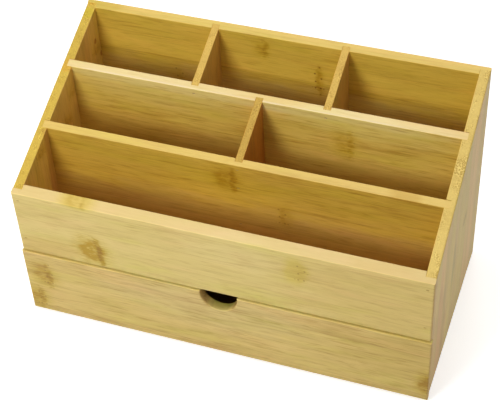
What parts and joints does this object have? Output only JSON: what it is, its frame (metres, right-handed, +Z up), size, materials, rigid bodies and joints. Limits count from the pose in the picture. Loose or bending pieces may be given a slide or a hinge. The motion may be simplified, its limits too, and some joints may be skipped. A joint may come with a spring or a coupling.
{
  "type": "vanity organizer with drawer",
  "caption": "Sloped bamboo vanity organizer: open compartments in stepped rows over a full-width drawer with a half-round finger notch.",
  "frame": {"origin": "centre of the whole object's footprint, on the surface that it stands on", "axes": "+Z up, +X to the right along the long side as seen from the front, +Y towards the tall back; the drawer opens along -Y"},
  "size_m": [0.332, 0.169, 0.1964],
  "materials": {
    "carcass_bamboo": "satin clear lacquer on carbonised-pale laminated bamboo",
    "drawer_bamboo": "satin clear lacquer on laminated bamboo",
    "thin_bamboo_sheet": "plain sanded bamboo sheet",
    "brad_steel": "dull wire brads, punched just under the surface"
  },
  "bodies": {
    "carcass": {"left_side_panel": "carcass_bamboo", "right_side_panel": "carcass_bamboo", "front_panel": "carcass_bamboo", "back_panel": "carcass_bamboo", "tray_floor": "carcass_bamboo", "base_panel": "carcass_bamboo", "rear_partition": "carcass_bamboo", "front_partition": "carcass_bamboo", "rear_divider_left": "carcass_bamboo", "rear_divider_right": "carcass_bamboo", "middle_divider": "carcass_bamboo", "front_panel_brads": "brad_steel", "back_panel_brads": "brad_steel", "rear_partition_brads": "brad_steel", "front_partition_brads": "brad_steel"},
    "drawer": {"drawer_front": "drawer_bamboo", "drawer_left_side": "drawer_bamboo", "drawer_right_side": "drawer_bamboo", "drawer_back": "drawer_bamboo", "drawer_bottom": "thin_bamboo_sheet", "drawer_left_brads": "brad_steel", "drawer_right_brads": "brad_steel"}
  },
  "joints": [
    {"name": "drawer_slide", "type": "slide", "parent": "carcass", "child": "drawer", "axis": [0, -1, 0], "range_m": [0, 0.13]}
  ]
}
